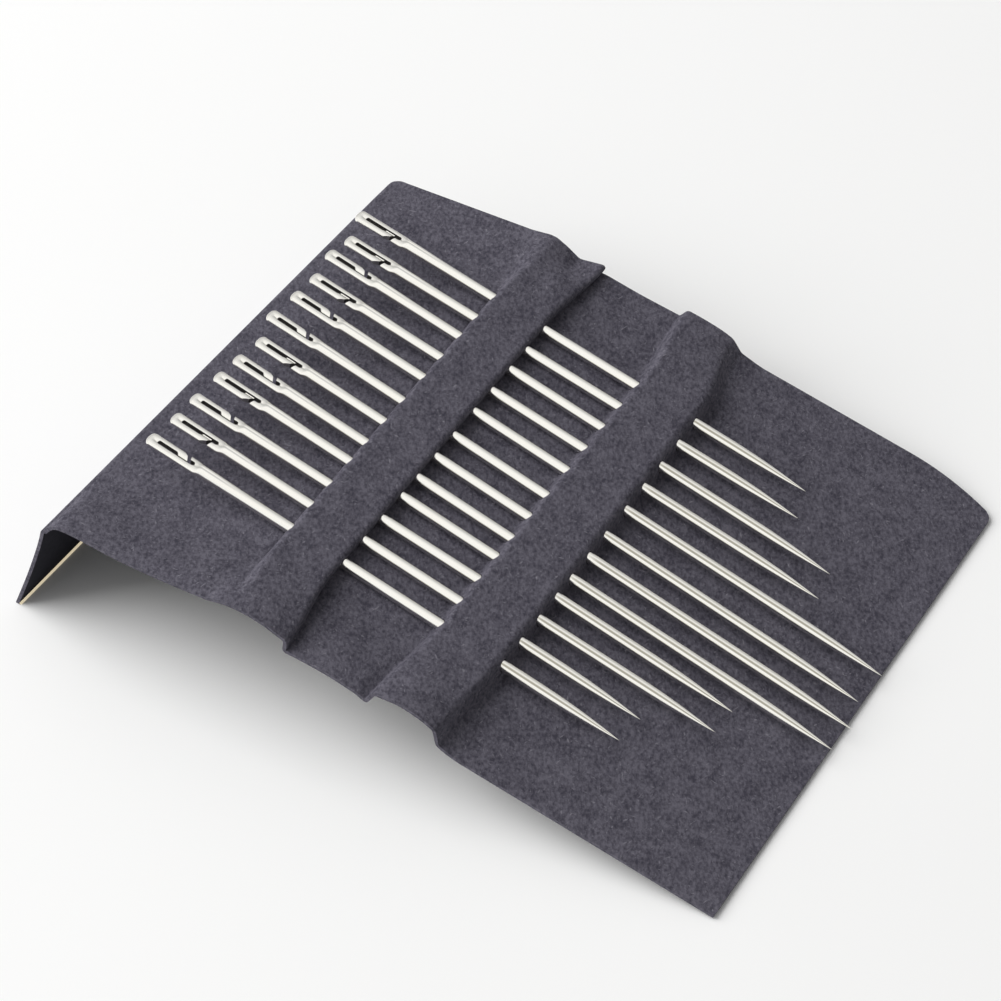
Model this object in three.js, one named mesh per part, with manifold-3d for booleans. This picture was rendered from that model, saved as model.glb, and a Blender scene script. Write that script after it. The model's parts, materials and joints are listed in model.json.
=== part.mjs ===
// A set of self-threading needles in a folded card of dark paper.
//
// Millimetres, +Z up. X runs along the needles from their eyes to their points and Y along the card's folds.
// The card stands like a low tent: its prop flap and the free edge of its point panel touch the surface.
// The origin lies on that surface, under the middle of the set.
//
// The needles, the two raised bands and the flat panels between and behind them lie in one tilted plane, the
// bed. In the bed, x runs down the slope from the left foot of the second band, and z = 0 is the height of the
// needles' own axes.

import * as THREE from "three";
import { mergeVertices } from "three/addons/utils/BufferGeometryUtils.js";
import Module from "manifold-3d";

const wasm = await Module();
wasm.setup();

// Needle sizes.
const SHORT_LENGTH = 36;
const MEDIUM_LENGTH = 40.2;
const LONG_LENGTH = 46.5;
const SHAFT_DIAMETER = 0.74;
const HEAD_WIDTH = 1.02;
const HEAD_THICKNESS = 0.44;
const HEAD_END = 0.36;
const HEAD_LENGTH = 3.75;
const HEAD_SQUARENESS = 3;
const NECK_WIDTH = 0.84;
const NECK_LENGTH = 0.5;
const NECK_TAPER_LENGTH = 3.75;
const POINT_LENGTH = 7;
const POINT_CURVE = 2.5;
const NEEDLE_SIDES = 12;

// The eye: a slot closed at the needle's end, a slit past the free arm, a small drop past the arm's tip, and a
// notch out of the drop through one side, where the thread is pressed in. The arm is ground to a full point over
// ARM_SLANT, and the barb across the notch from it leans back by BARB_LEAN on its way out to the head's edge.
const SLOT_START = 0.72;
const SLOT_LENGTH = 1.46;
const SLOT_WIDTH = 0.3;
const ARM_SLOPE = 0.22;
const SLIT_LENGTH = 0.67;
const SLIT_WIDTH = 0.1;
const DROP_LENGTH = 0.54;
const DROP_WIDTH = 0.32;
const ARM_SLANT = 0.62;
const BARB_LEAN = 0.13;

// The row of needles. FAR and NEAR are the sides that a needle's notch can face.
const NEEDLE_PITCH = 2.27;
const ROW_OFFSET = -0.22;
const EYE_STANDOFF = 10.9;
const FAR = 0;
const NEAR = Math.PI;

// The needles from the far side to the near side, pushed in by hand: drift is how far each lies from its even
// place across the row, yaw how many degrees it is turned from square to the folds, and draw how much nearer the
// bands its eye lies than EYE_STANDOFF says.
const NEEDLES = [
  { length: SHORT_LENGTH, notch: NEAR, drift: 0.19, yaw: 2.34, draw: -0.4 },
  { length: SHORT_LENGTH, notch: NEAR, drift: 0.13, yaw: 2.24, draw: 0.25 },
  { length: MEDIUM_LENGTH, notch: FAR, drift: 0.12, yaw: 3.2, draw: -0.1 },
  { length: MEDIUM_LENGTH, notch: NEAR, drift: 0.06, yaw: 2.91, draw: 0.25 },
  { length: LONG_LENGTH, notch: FAR, drift: 0, yaw: 3.4, draw: 0.1 },
  { length: LONG_LENGTH, notch: FAR, drift: -0.36, yaw: 3.77, draw: -0.2 },
  { length: LONG_LENGTH, notch: NEAR, drift: -0.32, yaw: 3.47, draw: 0.5 },
  { length: LONG_LENGTH, notch: FAR, drift: -0.27, yaw: 3.41, draw: 0.2 },
  { length: MEDIUM_LENGTH, notch: NEAR, drift: 0.09, yaw: 3.1, draw: 0.05 },
  { length: MEDIUM_LENGTH, notch: FAR, drift: 0.1, yaw: 2.41, draw: -0.1 },
  { length: SHORT_LENGTH, notch: NEAR, drift: 0.14, yaw: 2.64, draw: -0.15 },
  { length: SHORT_LENGTH, notch: FAR, drift: 0.13, yaw: 2.34, draw: -0.4 },
];

// The card.
const PAPER = 0.25;
const SIDE_MARGIN = 7.65;
const HOLE_CLEARANCE = 0.08;
const BAND_SLACK = 0.04;
const CREASE_GAP = 0.3;
const FOOT = 0.4;
const WALL_LEAN = 0.1;
const FIRST_BAND_WIDTH = 3.85;
const RETURN_BACK = 0.2;
const MIDDLE_PANEL_LENGTH = 6.6;
const SECOND_BAND_TOP = 4.4;
const SECOND_BAND_DROP = 0.9;
const POINT_PANEL_LENGTH = 18.6;
const POINT_PANEL_STEP = 0.29;
const POINT_PANEL_CORNER = 1.3;
const EYE_PANEL_LENGTH = 12.1;
const EYE_PANEL_CORNER = 0.8;
const FOLD_SKEW = THREE.MathUtils.degToRad(1.7);
const FLAP_FLARE = 2.8;
const FLAP_CURVE = 1.15;
const BED_TILT = THREE.MathUtils.degToRad(11.6);
const EYE_PANEL_DROOP = THREE.MathUtils.degToRad(9.7);
const CURVE_STEPS = 7;

// Worked out from the values above.
const CARD_WIDTH = NEEDLE_PITCH * (NEEDLES.length - 1) + 2 * SIDE_MARGIN;
const HOLE_RADIUS = SHAFT_DIAMETER / 2 + HOLE_CLEARANCE;
const BAND_TOP = HOLE_RADIUS + BAND_SLACK + PAPER / 2;
const MIDDLE_LEVEL = -BAND_TOP;
const POINT_LEVEL = MIDDLE_LEVEL - POINT_PANEL_STEP;
const MIDDLE_END = -FOOT;
const MIDDLE_START = MIDDLE_END - MIDDLE_PANEL_LENGTH;
const FIRST_BAND_TIP = MIDDLE_START - FOOT + RETURN_BACK;
const FIRST_BAND_START = FIRST_BAND_TIP - FIRST_BAND_WIDTH;
const EYE_CREASE = FIRST_BAND_START - FOOT - CREASE_GAP / 2;
const SECOND_BAND_END = SECOND_BAND_TOP + SECOND_BAND_DROP;
const POINT_CREASE = SECOND_BAND_END + FOOT + CREASE_GAP / 2;
const POINT_EDGE = POINT_CREASE + POINT_PANEL_LENGTH;
const BED_HEIGHT =
  POINT_EDGE * Math.sin(BED_TILT) + (PAPER / 2 - POINT_LEVEL) * Math.cos(BED_TILT);

const paper = new THREE.MeshStandardMaterial({ color: 0x4b4952, roughness: 0.95, metalness: 0 });
const steel = new THREE.MeshStandardMaterial({ color: 0xd8d4c8, roughness: 0.2, metalness: 1 });

// A closed geometry as a solid, without the zero-area triangles that a turned shape has at its poles.
function solidOf(geometry) {
  const bare = geometry.clone();
  bare.deleteAttribute("normal");
  bare.deleteAttribute("uv");
  const merged = mergeVertices(bare, 1e-4);
  const corners = merged.index.array;
  const kept = [];
  for (let i = 0; i < corners.length; i += 3) {
    const [a, b, c] = [corners[i], corners[i + 1], corners[i + 2]];
    if (a !== b && b !== c && c !== a) kept.push(a, b, c);
  }
  const vertProperties = merged.attributes.position.array;
  return new wasm.Manifold(
    new wasm.Mesh({ numProp: 3, vertProperties, triVerts: new Uint32Array(kept) }),
  );
}

function geometryOf(solid) {
  const mesh = solid.getMesh();
  return new THREE.BufferGeometry()
    .setAttribute("position", new THREE.BufferAttribute(mesh.vertProperties, 3))
    .setIndex(new THREE.BufferAttribute(mesh.triVerts, 1));
}

function addMesh(parent, name, geometry, material) {
  const mesh = new THREE.Mesh(geometry, material);
  mesh.name = name;
  parent.add(mesh);
  return mesh;
}

// A needle along +X, its eye's end at the origin, its notch on the +Y side.
function needleGeometry(length) {
  const headRadius = HEAD_WIDTH / 2;
  const shaftRadius = SHAFT_DIAMETER / 2;
  const neck = HEAD_LENGTH + NECK_LENGTH;
  const profile = [];
  for (const degrees of [0, 30, 60, 90]) {
    const angle = THREE.MathUtils.degToRad(degrees);
    profile.push(new THREE.Vector2(headRadius * Math.sin(angle), HEAD_END * (1 - Math.cos(angle))));
  }
  profile.push(new THREE.Vector2(headRadius, HEAD_LENGTH));
  profile.push(new THREE.Vector2(NECK_WIDTH / 2, neck));
  profile.push(new THREE.Vector2(shaftRadius, neck + NECK_TAPER_LENGTH));
  profile.push(new THREE.Vector2(shaftRadius, length - POINT_LENGTH));
  for (const share of [0.35, 0.6, 0.8, 0.93, 1]) {
    const radius = shaftRadius * (1 - share ** POINT_CURVE);
    profile.push(new THREE.Vector2(radius, length - POINT_LENGTH * (1 - share)));
  }
  const body = new THREE.LatheGeometry(profile, NEEDLE_SIDES);
  body.rotateZ(-Math.PI / 2);
  flattenHead(body);
  const eye = new THREE.ExtrudeGeometry(eyeShape(), {
    depth: 2 * HEAD_WIDTH,
    bevelEnabled: false,
    curveSegments: 6,
  });
  eye.translate(0, 0, -HEAD_WIDTH);
  return geometryOf(solidOf(body).subtract(solidOf(eye)));
}

// The head is stamped flat, with a squarer section than the shaft. Along the neck it goes back to round.
function flattenHead(body) {
  const place = body.attributes.position;
  for (let i = 0; i < place.count; i += 1) {
    const share = THREE.MathUtils.clamp((place.getX(i) - HEAD_LENGTH) / NECK_LENGTH, 0, 1);
    const flat = THREE.MathUtils.lerp(HEAD_THICKNESS / HEAD_WIDTH, 1, share);
    const power = THREE.MathUtils.lerp(2 / HEAD_SQUARENESS, 1, share);
    const radius = Math.max(Math.hypot(place.getY(i), place.getZ(i)), 1e-9);
    const squared = (value) => Math.sign(value) * radius * Math.abs(value / radius) ** power;
    place.setY(i, squared(place.getY(i)));
    place.setZ(i, squared(place.getZ(i)) * flat);
  }
}

// The opening of the eye seen from above: slot, slit, drop and notch in one outline. The notch runs on past the
// head's edge.
function eyeShape() {
  const half = SLOT_WIDTH / 2;
  const slotEnd = SLOT_START + SLOT_LENGTH;
  const slitStart = slotEnd + ARM_SLOPE;
  const armTip = slitStart + SLIT_LENGTH;
  const armTop = SLIT_WIDTH - half;
  const dropEnd = armTip + DROP_LENGTH;
  const dropTop = DROP_WIDTH - half;
  const barbRoot = armTip + DROP_LENGTH / 4;
  const edge = HEAD_WIDTH / 2;
  const shape = new THREE.Shape();
  shape.moveTo(SLOT_START + half, -half);
  shape.lineTo(dropEnd - DROP_WIDTH / 2, -half);
  shape.quadraticCurveTo(dropEnd, -half, dropEnd, (dropTop - half) / 2);
  shape.quadraticCurveTo(dropEnd, dropTop, dropEnd - DROP_WIDTH / 2, dropTop);
  shape.lineTo(barbRoot, dropTop);
  shape.lineTo(barbRoot - BARB_LEAN, edge);
  shape.lineTo(barbRoot - BARB_LEAN, HEAD_WIDTH);
  shape.lineTo(armTip - ARM_SLANT, HEAD_WIDTH);
  shape.lineTo(armTip - ARM_SLANT, edge);
  shape.lineTo(armTip - ARM_SLANT / 3, THREE.MathUtils.lerp(armTop, edge, 0.6));
  shape.lineTo(armTip, armTop);
  shape.lineTo(slitStart, armTop);
  shape.lineTo(slotEnd, half);
  shape.lineTo(SLOT_START + half, half);
  shape.absarc(SLOT_START + half, 0, half, Math.PI / 2, 1.5 * Math.PI, false);
  return shape;
}

// The outline of a strip of paper seen along the folds, from the points [x, z] of its middle line. Each side
// lies half the paper's thickness from the middle line, with mitred corners.
function paperOutline(points) {
  const middle = points.map(([x, z]) => new THREE.Vector2(x, z));
  const left = [];
  const right = [];
  middle.forEach((point, i) => {
    const before = middle[Math.max(i - 1, 0)];
    const after = middle[Math.min(i + 1, middle.length - 1)];
    const arriving = (i > 0 ? point.clone().sub(before) : after.clone().sub(point)).normalize();
    const leaving = (i < middle.length - 1 ? after.clone().sub(point) : arriving.clone()).normalize();
    const across = new THREE.Vector2(-arriving.y, arriving.x);
    const mitre = across.clone().add(new THREE.Vector2(-leaving.y, leaving.x)).normalize();
    mitre.multiplyScalar(PAPER / 2 / mitre.dot(across));
    left.push(point.clone().add(mitre));
    right.push(point.clone().sub(mitre));
  });
  return new THREE.Shape([...right, ...left.reverse()]);
}

// A strip of bent paper as wide as the card, or as width says, along Y.
function bentPaper(points, width = CARD_WIDTH) {
  const strip = new THREE.ExtrudeGeometry(paperOutline(points), { depth: width, bevelEnabled: false });
  strip.rotateX(Math.PI / 2);
  strip.translate(0, width / 2, 0);
  return strip;
}

// A flat panel of paper, its outline in (x, y), lying on z = 0.
function flatPaper(shape) {
  return new THREE.ExtrudeGeometry(shape, { depth: PAPER, bevelEnabled: false, curveSegments: 4 });
}

const set = new THREE.Group();
const bed = new THREE.Group();
bed.position.z = BED_HEIGHT;
bed.rotation.y = BED_TILT;
set.add(bed);

// One seat for each needle: where it crosses the bed, turned the way that the needle points.
const seats = NEEDLES.map((needle, i) => {
  const seat = new THREE.Group();
  seat.name = `seat_${String(i + 1).padStart(2, "0")}`;
  seat.position.y = ((NEEDLES.length - 1) / 2 - i) * NEEDLE_PITCH + ROW_OFFSET + needle.drift;
  seat.rotation.z = -THREE.MathUtils.degToRad(needle.yaw);
  seat.updateMatrix();
  bed.add(seat);
  return seat;
});

// Cuts the holes that the needles pass through, from one end of a band to the other.
function pierced(strip, start, end) {
  let solid = solidOf(strip);
  for (const seat of seats) {
    const drill = new THREE.CylinderGeometry(HOLE_RADIUS, HOLE_RADIUS, end - start, NEEDLE_SIDES);
    drill.rotateZ(-Math.PI / 2);
    drill.translate((start + end) / 2, 0, 0);
    drill.applyMatrix4(seat.matrix);
    solid = solid.subtract(solidOf(drill));
  }
  return geometryOf(solid);
}

// The first band: a low arch whose right side is an overhanging crease with the paper folded back under it.
function addFirstBand() {
  const returnFoot = FIRST_BAND_TIP - RETURN_BACK;
  const strip = bentPaper([
    [FIRST_BAND_START - FOOT, MIDDLE_LEVEL],
    [FIRST_BAND_START, MIDDLE_LEVEL],
    [FIRST_BAND_START + WALL_LEAN, BAND_TOP],
    [FIRST_BAND_TIP, BAND_TOP],
    [returnFoot, MIDDLE_LEVEL],
    [returnFoot + FOOT, MIDDLE_LEVEL],
  ]);
  addMesh(bed, "first_band", pierced(strip, FIRST_BAND_START - FOOT, FIRST_BAND_TIP + FOOT), paper);
}

function addMiddlePanel() {
  const strip = bentPaper([
    [MIDDLE_START, MIDDLE_LEVEL],
    [MIDDLE_END, MIDDLE_LEVEL],
  ]);
  addMesh(bed, "middle_panel", strip, paper);
}

// The second band: a steep step up on the left, a flat top and a rounded fall to the point panel.
function addSecondBand() {
  const points = [
    [-FOOT, MIDDLE_LEVEL],
    [0, MIDDLE_LEVEL],
    [WALL_LEAN, BAND_TOP],
  ];
  for (let i = 0; i <= CURVE_STEPS; i += 1) {
    const share = i / CURVE_STEPS;
    const fall = (1 - Math.cos(Math.PI * share)) / 2;
    points.push([
      SECOND_BAND_TOP + SECOND_BAND_DROP * share,
      THREE.MathUtils.lerp(BAND_TOP, POINT_LEVEL, fall),
    ]);
  }
  points.push([SECOND_BAND_END + FOOT, POINT_LEVEL]);
  const strip = bentPaper(points);
  addMesh(bed, "second_band", pierced(strip, -FOOT, SECOND_BAND_END + FOOT), paper);
}

// The point panel turns about the underside of its crease. Its far free corner is rounded.
function addPointPanel() {
  const hinge = new THREE.Group();
  hinge.name = "point_panel_hinge";
  hinge.position.set(POINT_CREASE, 0, POINT_LEVEL - PAPER / 2);
  bed.add(hinge);
  const side = CARD_WIDTH / 2;
  const shape = new THREE.Shape();
  shape.moveTo(CREASE_GAP / 2, -side);
  shape.lineTo(POINT_PANEL_LENGTH, -side);
  shape.lineTo(POINT_PANEL_LENGTH, side - POINT_PANEL_CORNER);
  shape.absarc(
    POINT_PANEL_LENGTH - POINT_PANEL_CORNER,
    side - POINT_PANEL_CORNER,
    POINT_PANEL_CORNER,
    0,
    Math.PI / 2,
    false,
  );
  shape.lineTo(CREASE_GAP / 2, side);
  addMesh(hinge, "point_panel", flatPaper(shape), paper);
}

// The eye panel turns about the underside of its crease and droops below the bed. Its free end is the fold
// that carries the prop flap, a little out of square, with a rounded far corner.
function addEyePanelAndFlap() {
  const hinge = new THREE.Group();
  hinge.name = "eye_panel_hinge";
  hinge.position.set(EYE_CREASE, 0, MIDDLE_LEVEL - PAPER / 2);
  hinge.rotation.y = -EYE_PANEL_DROOP;
  bed.add(hinge);
  const side = CARD_WIDTH / 2;
  const foldAt = (y) => -EYE_PANEL_LENGTH + y * Math.tan(FOLD_SKEW);
  const endAt = (y) => foldAt(y) + CREASE_GAP / 2;
  const shape = new THREE.Shape();
  shape.moveTo(-CREASE_GAP / 2, -side);
  shape.lineTo(-CREASE_GAP / 2, side);
  shape.lineTo(endAt(side) + EYE_PANEL_CORNER, side);
  shape.quadraticCurveTo(endAt(side), side, endAt(side - EYE_PANEL_CORNER), side - EYE_PANEL_CORNER);
  shape.lineTo(endAt(-side), -side);
  addMesh(hinge, "eye_panel", flatPaper(shape), paper);

  // The flap hangs from the fold to the surface, first straight down and then flaring out.
  const fold = new THREE.Group();
  fold.name = "flap_hinge";
  fold.position.x = foldAt(0);
  fold.rotation.set(0, EYE_PANEL_DROOP - BED_TILT, -FOLD_SKEW);
  hinge.add(fold);
  set.updateMatrixWorld(true);
  const foldHeight = fold.getWorldPosition(new THREE.Vector3()).z;
  const points = [];
  for (let i = 0; i <= CURVE_STEPS; i += 1) {
    const share = i / CURVE_STEPS;
    const flare = FLAP_FLARE * share ** FLAP_CURVE;
    points.push([-PAPER / 2 - flare, -THREE.MathUtils.lerp(CREASE_GAP / 2, foldHeight, share)]);
  }
  const flap = addMesh(fold, "prop_flap", bentPaper(points, CARD_WIDTH - EYE_PANEL_CORNER), paper);
  flap.position.y = -EYE_PANEL_CORNER / 2;
}

function addNeedles() {
  const geometries = new Map();
  for (const { length } of NEEDLES) {
    if (!geometries.has(length)) geometries.set(length, needleGeometry(length));
  }
  NEEDLES.forEach(({ length, notch, draw }, i) => {
    const name = seats[i].name.replace("seat", "needle");
    const needle = addMesh(seats[i], name, geometries.get(length), steel);
    needle.position.x = FIRST_BAND_START - EYE_STANDOFF + draw;
    needle.rotation.x = notch;
  });
}

addFirstBand();
addMiddlePanel();
addSecondBand();
addPointPanel();
addEyePanelAndFlap();
addNeedles();

// The origin goes to the middle of the set's box, on the surface that it stands on.
const box = new THREE.Box3().setFromObject(set, true);
const middle = box.getCenter(new THREE.Vector3());
set.position.set(-middle.x, -middle.y, -box.min.z);

export default set;
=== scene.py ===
# %% [markdown]
# # Self-threading needles in a folded card
# Twelve polished steel needles sit in one folded sheet of dark paper. The thread goes in through a notch
# in the side of each eye. The CAD model already holds every piece at its real place and size, so this
# lesson keeps its frame and dresses it: the paper becomes one continuous bent sheet, and the needles get
# their true round form.

# %% Load the fixed frame
import json
import math

import bmesh
import bpy
import numpy as np
from mathutils import Matrix, Vector


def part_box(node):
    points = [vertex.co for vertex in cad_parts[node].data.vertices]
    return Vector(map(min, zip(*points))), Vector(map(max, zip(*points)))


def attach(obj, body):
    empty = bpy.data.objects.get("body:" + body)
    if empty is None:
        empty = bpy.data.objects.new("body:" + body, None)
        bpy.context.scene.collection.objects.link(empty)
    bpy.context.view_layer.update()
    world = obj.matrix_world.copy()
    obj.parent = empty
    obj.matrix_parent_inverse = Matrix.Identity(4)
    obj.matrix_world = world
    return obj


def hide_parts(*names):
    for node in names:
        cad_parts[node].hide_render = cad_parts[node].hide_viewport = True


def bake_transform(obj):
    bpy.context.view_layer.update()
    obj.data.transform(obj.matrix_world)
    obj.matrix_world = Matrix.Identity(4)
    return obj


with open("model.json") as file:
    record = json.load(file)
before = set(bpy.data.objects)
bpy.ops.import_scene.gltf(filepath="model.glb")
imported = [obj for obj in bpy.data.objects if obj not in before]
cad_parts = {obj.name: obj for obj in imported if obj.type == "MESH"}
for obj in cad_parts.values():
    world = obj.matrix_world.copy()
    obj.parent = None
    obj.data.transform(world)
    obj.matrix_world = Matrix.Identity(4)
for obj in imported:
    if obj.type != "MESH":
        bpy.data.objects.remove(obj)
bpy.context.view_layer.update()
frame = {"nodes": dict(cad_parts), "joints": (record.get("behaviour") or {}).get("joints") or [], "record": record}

NODES = frame["nodes"]
JOINTS = {joint["name"]: joint for joint in frame["joints"]}
print("CAD nodes:", len(NODES), "joints:", len(JOINTS))

# %% [markdown]
# The camera comes first, because every later choice is judged through it. The photograph was taken with
# a long lens from above the near right corner. The lens and the angles below put the needles' ends and
# the card's corners on their pixels, so the picture and the model can be compared edge by edge.

# %% Stand the camera where the photograph was taken
MM = 0.001
LENS = 135.13
SENSOR = 36.0
AZIMUTH = math.radians(30.198)
ELEVATION = math.radians(45.178)
ROLL = math.radians(0.29)
CAMERA_DISTANCE = 245.68 * MM
AIM_RIGHT = -1.205 * MM
AIM_UP = 3.641 * MM
CLIP_START = 10 * MM


def camera_axes():
    """The camera's right, up and backward directions."""
    flat = math.cos(ELEVATION)
    back = Vector((math.sin(AZIMUTH) * flat, -math.cos(AZIMUTH) * flat, math.sin(ELEVATION)))
    level = Vector((math.cos(AZIMUTH), math.sin(AZIMUTH), 0))
    upright = back.cross(level)
    right = level * math.cos(ROLL) + upright * math.sin(ROLL)
    return right, back.cross(right), back


def add_camera():
    right, up, back = camera_axes()
    data = bpy.data.cameras.new("camera")
    data.lens = LENS
    data.sensor_width = SENSOR
    data.clip_start = CLIP_START
    camera = bpy.data.objects.new("camera", data)
    bpy.context.scene.collection.objects.link(camera)
    place = right * AIM_RIGHT + up * AIM_UP + back * CAMERA_DISTANCE
    camera.matrix_world = Matrix.Translation(place) @ Matrix((right, up, back)).transposed().to_4x4()
    bpy.context.scene.camera = camera
    return camera


CAMERA = add_camera()
print("camera at", [round(x, 3) for x in CAMERA.matrix_world.translation])

# %% [markdown]
# Node trees are easier to read as sums than as wires. The class below wraps one output of a node, and
# its operators add Math nodes, so that `1 - mask * 0.5` is written just so.


# %% Reckon with sockets
class Socket:
    """One output of a node, which Python's operators can reckon with."""

    def __init__(self, graph, output):
        self.graph = graph
        self.output = output

    def __add__(self, other):
        return self.graph.math("ADD", self, other)

    def __radd__(self, other):
        return self.graph.math("ADD", other, self)

    def __sub__(self, other):
        return self.graph.math("SUBTRACT", self, other)

    def __rsub__(self, other):
        return self.graph.math("SUBTRACT", other, self)

    def __mul__(self, other):
        return self.graph.math("MULTIPLY", self, other)

    def __rmul__(self, other):
        return self.graph.math("MULTIPLY", other, self)

    def __truediv__(self, other):
        return self.graph.math("DIVIDE", self, other)

    def __pow__(self, other):
        return self.graph.math("POWER", self, other)

    def apply(self, operation):
        """A function of one value, such as ABSOLUTE or SIGN."""
        return self.graph.math(operation, self)

    def clamp(self):
        return self.graph.math("MINIMUM", self.graph.math("MAXIMUM", self, 0.0), 1.0)

    def ease(self, start, end):
        """0 before start, 1 after end and a smooth change between."""
        sockets = {"Value": self, "From Min": start, "From Max": end}
        return self.graph.add("ShaderNodeMapRange", {"interpolation_type": "SMOOTHSTEP"}, sockets)


print("sockets take sums, products and powers")

# %% [markdown]
# A second class wraps the tree itself. One method of it makes every other node: it takes the type, the
# settings and then the values or links of the sockets. Materials, the world and the geometry trees all
# use it.


# %% Fill a tree by calls
class Graph:
    """A node tree that is filled by Python calls."""

    def __init__(self, tree):
        self.tree = tree

    def feed(self, node, sockets):
        """Links the values that vary to a node's sockets and sets those that don't."""
        for name, value in sockets.items():
            if isinstance(value, Socket):
                self.tree.links.new(value.output, node.inputs[name])
            else:
                node.inputs[name].default_value = value

    def add(self, kind, settings=None, sockets=None, out=0):
        """Any node by its type, settings and sockets, as the one of its outputs that is wanted."""
        node = self.tree.nodes.new(kind)
        for name, value in (settings or {}).items():
            setattr(node, name, value)
        self.feed(node, sockets or {})
        return Socket(self, node.outputs[out]) if node.outputs else None

    def math(self, operation, *values):
        return self.add("ShaderNodeMath", {"operation": operation}, dict(enumerate(values)))

    def mix(self, share, first, second):
        """A colour between two colours."""
        sockets = {0: share, 6: first, 7: second}
        return self.add("ShaderNodeMix", {"data_type": "RGBA"}, sockets, out=2)

    def dot(self, first, second):
        """How far one vector reaches along another."""
        sockets = {0: first, 1: second}
        return self.add("ShaderNodeVectorMath", {"operation": "DOT_PRODUCT"}, sockets, out="Value")

    def parts(self, vector):
        """The x, y and z of a vector."""
        first = self.add("ShaderNodeSeparateXYZ", None, {"Vector": vector})
        return [Socket(self, output) for output in first.output.node.outputs]


def new_material(name):
    """A material with its graph and its Principled shader."""
    material = bpy.data.materials.new(name)
    material.use_nodes = True
    return material, Graph(material.node_tree), material.node_tree.nodes["Principled BSDF"]


print("node helpers ready")

# %% [markdown]
# The card is uncoated charcoal paper with a faint purple cast. Close up it isn't one colour: pulp makes
# soft clouds about a millimetre across, a fine grain, and short pale fibres that lie in all directions.
# A single noise would look like stone, so the fibres are made from three stretched noises at different
# angles, cut off so that only their peaks show.

# %% Make the charcoal paper
PER_METRE = (1 / MM,) * 3
CHARCOAL_DARK = (0.051, 0.048, 0.064, 1)
CHARCOAL_LIGHT = (0.134, 0.127, 0.156, 1)
MIDDLE_TONE = 0.49
CLOUDS_PER_MM = 0.8
CLOUD_CONTRAST = 1.1
GRAIN_PER_MM = 4.5
GRAIN_CONTRAST = 2.9
GRAIN_STRETCH = (1.35, 1, 1)
GRAIN_ANGLE = 120
FIBRE_PALE = (0.27, 0.262, 0.3, 1)
FIBRES_PER_MM = 6.2
FIBRE_STRETCH = (3.2, 1, 1)
FIBRE_ANGLES = (12, 73, 131)
FIBRE_PEAKS = (0.65, 0.8)
FIBRE_COVER = 0.6
PAPER_RELIEF = 0.03 * MM
GRAIN_RELIEF = 0.6
FIBRE_RELIEF = 0.4
PAPER_ROUGHNESS = 0.98
GRAIN_SHEEN = 0.12


def noise(graph, place, scale, detail=2.0, roughness=0.5, stretch=(1, 1, 1), turn=0):
    """Noise between 0 and 1 with a number of patches per millimetre, drawn out and turned about Z."""
    sockets = {"Vector": place, "Scale": stretch, "Rotation": (0, 0, math.radians(turn))}
    laid = graph.add("ShaderNodeMapping", {"vector_type": "TEXTURE"}, sockets)
    sockets = {"Vector": laid, "Scale": scale, "Detail": detail, "Roughness": roughness}
    return graph.add("ShaderNodeTexNoise", None, sockets)


def millimetres(graph):
    """The place on the object, in millimetres."""
    place = graph.add("ShaderNodeTexCoord", out="Object")
    return graph.add("ShaderNodeMapping", None, {"Vector": place, "Scale": PER_METRE})


def charcoal_paper():
    material, graph, shader = new_material("charcoal_paper")
    place = millimetres(graph)
    clouds = noise(graph, place, CLOUDS_PER_MM, detail=3)
    grain = noise(graph, place, GRAIN_PER_MM, detail=3, roughness=0.65,
                  stretch=GRAIN_STRETCH, turn=GRAIN_ANGLE)
    tone = (clouds - 0.5) * CLOUD_CONTRAST + (grain - 0.5) * GRAIN_CONTRAST + MIDDLE_TONE
    strands = []
    for turn in FIBRE_ANGLES:
        strands.append(noise(graph, place, FIBRES_PER_MM, stretch=FIBRE_STRETCH, turn=turn))
    fibres = sum(strand.ease(*FIBRE_PEAKS) for strand in strands)
    colour = graph.mix(tone.clamp(), CHARCOAL_DARK, CHARCOAL_LIGHT)
    colour = graph.mix((fibres * FIBRE_COVER).clamp(), colour, FIBRE_PALE)
    height = grain * GRAIN_RELIEF + fibres * FIBRE_RELIEF
    sockets = {"Strength": 0.5, "Distance": PAPER_RELIEF, "Height": height}
    bump = graph.add("ShaderNodeBump", None, sockets)
    roughness = PAPER_ROUGHNESS - grain * GRAIN_SHEEN
    graph.feed(shader, {"Base Color": colour, "Normal": bump, "Roughness": roughness})
    graph.feed(shader, {"Specular IOR Level": 0.2})
    return material


PAPER_FINISH = charcoal_paper()
print("paper finish:", PAPER_FINISH.name, "with", len(PAPER_FINISH.node_tree.nodes), "nodes")

# %% [markdown]
# The underside of the card is dark paper, and it is painted darker still than the top, as painted shade
# for the dim inside of the card. Along the free edge of its flap a thin margin was never printed and
# shows the pale core of the paper. It lies in shade, and a weak painted glow of its own brightens it.

# %% Make the card's shaded back and its bare margin
# The back's colour, darker than the top's darkest tone, is painted shade for the dim inside of the card.
BACK_SHADED_BLACK = (0.014, 0.014, 0.018, 1)
BACK_GRAIN = 0.4
CREAM_DEEP = (0.9, 0.8, 0.56, 1)
CREAM_PALE = (0.96, 0.9, 0.72, 1)
CREAM_PATCHES_PER_MM = 3.0
# The cream margin's glow is painted light: it brightens a strip that lies in shade.
CREAM_PAINTED_GLOW_TINT = (0.93, 0.8, 0.55, 1)
CREAM_PAINTED_GLOW = 0.55


def shaded_black_back():
    material, graph, shader = new_material("shaded_black_back")
    grain = noise(graph, millimetres(graph), GRAIN_PER_MM)
    # Painted shade: the underside is coloured darker than the top paper.
    colour = graph.mix(grain * BACK_GRAIN, BACK_SHADED_BLACK, CHARCOAL_DARK)
    graph.feed(shader, {"Base Color": colour, "Roughness": 0.95, "Specular IOR Level": 0.1})
    return material


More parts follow.
